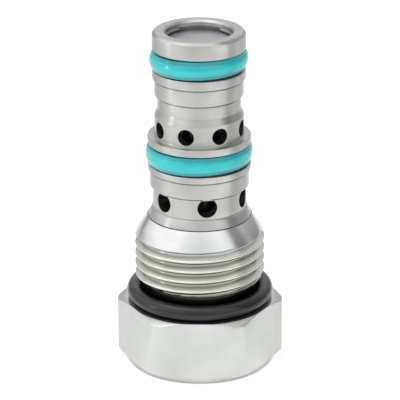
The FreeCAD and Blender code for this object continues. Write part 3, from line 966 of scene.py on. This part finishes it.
def make_floor():
    """A wide white table, partly lit from within so that it stays pale under the valve. Close to the valve
    the glow follows CLEAR_ROUND, and further off FLOOR_ROUND, as a table's does between dark side panels."""
    made, tree = new_material("white_table")
    place = add(tree, "ShaderNodeTexCoord")
    clouds = add(tree, "ShaderNodeTexNoise", {"Vector": (place, "Object"), "Scale": TABLE_CLOUDS})
    base = add(
        tree, "ShaderNodeMix",
        {"Factor": (clouds, "Fac"), MIX_A: linear("#8C8C8C"), MIX_B: linear("#909090")}, data_type="RGBA",
    )
    parts = add(tree, "ShaderNodeSeparateXYZ", {0: (place, "Object")})
    side = add(tree, "ShaderNodeMath", {0: (parts, "X")}, operation="ABSOLUTE")
    beside = add(
        tree, "ShaderNodeMath",
        {0: (parts, "Y"), 1: -CLEAR_WIDENING, 2: (side, "Value")}, operation="MULTIPLY_ADD",
    )
    front = add(
        tree, "ShaderNodeMath",
        {0: (parts, "Y"), 1: -1.0, 2: CLEAR_SIDE - CLEAR_FRONT}, operation="MULTIPLY_ADD",
    )
    reach = add(tree, "ShaderNodeMath", {0: (beside, "Value"), 1: (front, "Value")}, operation="MAXIMUM")
    far = add(
        tree, "ShaderNodeMapRange",
        {"Value": (reach, "Value"), "From Min": CLEAR_SIDE, "From Max": CLEAR_SIDE + FLOOR_FADE},
    )
    near = round_light(tree, (place, "Object"), CLEAR_ROUND)
    level = round_light(tree, (place, "Object"), FLOOR_ROUND)
    share = add(
        tree, "ShaderNodeMix",
        {"Factor": (far, "Result"), "A": (near, "Color"), "B": (level, "Color")}, data_type="FLOAT",
    )
    flat = add(tree, "ShaderNodeVectorMath", {0: (place, "Object"), 1: (1, 1, 0)}, operation="MULTIPLY")
    away = add(tree, "ShaderNodeVectorMath", {0: (flat, "Vector")}, operation="LENGTH")
    # painted shadow: the glow dims in a ring round the head's foot
    foot = add(
        tree, "ShaderNodeMapRange",
        {"Value": (away, "Value"), "From Min": FOOT_SHADE_INNER * MM, "From Max": FOOT_SHADE_OUTER * MM,
         "To Min": FOOT_SHADE * FLOOR_GLOW, "To Max": FLOOR_GLOW},
    )
    glow = add(tree, "ShaderNodeMath", {0: (share, 0), 1: (foot, "Result")}, operation="MULTIPLY")
    shader = add(
        tree, "ShaderNodeBsdfPrincipled",
        {"Base Color": (base, 2), "Roughness": 0.9, "Specular IOR Level": 0.1,
         "Emission Color": (1, 1, 1, 1), "Emission Strength": (glow, "Value")},
    )
    finish_material(tree, shader)
    corners = [(x * TABLE_HALF, y * TABLE_HALF, 0) for x, y in ((-1, -1), (1, -1), (1, 1), (-1, 1))]
    mesh = bpy.data.meshes.new("table")
    mesh.from_pydata(corners, [], [(0, 1, 2, 3)])
    mesh.materials.append(made)
    table = bpy.data.objects.new("table", mesh)
    bpy.context.scene.collection.objects.link(table)


def make_world():
    """The studio as light by direction: a part that follows the height, dim at eye level and bright
    overhead, times the part that follows the angle round."""
    world = bpy.data.worlds.new("studio")
    world.use_nodes = True
    tree = world.node_tree
    tree.nodes.clear()
    way = add(tree, "ShaderNodeTexCoord")
    parts = add(tree, "ShaderNodeSeparateXYZ", {0: (way, "Generated")})
    up = add(tree, "ShaderNodeValToRGB", {0: (parts, "Z")})
    set_ramp(up, HEIGHT_LIGHT)
    level = round_light(tree, (way, "Generated"), SKY_ROUND)
    light = add(tree, "ShaderNodeMath", {0: (up, "Color"), 1: (level, "Color")}, operation="MULTIPLY")
    glow = add(tree, "ShaderNodeBackground", {"Color": linear("#FDFEFF"), "Strength": (light, "Value")})
    add(tree, "ShaderNodeOutputWorld", {"Surface": (glow, "Background")})
    bpy.context.scene.world = world


def make_light(name, place, size, power):
    """A square soft box aimed at the middle of the valve."""
    data = bpy.data.lights.new(name, "AREA")
    data.size = size
    data.energy = power
    made = bpy.data.objects.new(name, data)
    made.location = place
    way = Vector((0, 0, AIM_HEIGHT)) - Vector(place)
    made.rotation_euler = way.to_track_quat("-Z", "Y").to_euler()
    bpy.context.scene.collection.objects.link(made)


def make_camera():
    """A long lens from the front, 21 degrees down, a little to the valve's right and slightly rolled. It
    stands `distance` from the axis and is then moved `nudge` along its own right."""
    distance = 0.367868
    height = 0.172207
    nudge = 0.00008
    down = math.radians(21.336)
    round_right = math.radians(1.8)
    roll = math.radians(-0.24)
    data = bpy.data.cameras.new("camera")
    data.sensor_width = 36
    data.lens = 209.58
    data.clip_start = 0.01
    made = bpy.data.objects.new("camera", data)
    aim = Matrix.Rotation(round_right, 4, "Z") @ Matrix.Rotation(math.pi / 2 - down, 4, "X")
    aim = aim @ Matrix.Rotation(roll, 4, "Z")
    place = Vector((distance * math.sin(round_right), -distance * math.cos(round_right), height))
    place += aim.to_3x3() @ Vector((nudge, 0, 0))
    made.matrix_world = Matrix.Translation(place) @ aim
    bpy.context.scene.collection.objects.link(made)
    bpy.context.scene.camera = made


make_floor()
make_world()
make_light("left_soft_box", place=(-0.4, -0.11, 0.085), size=0.05, power=0.07)
make_camera()
bpy.context.scene.view_settings.view_transform = "Standard"
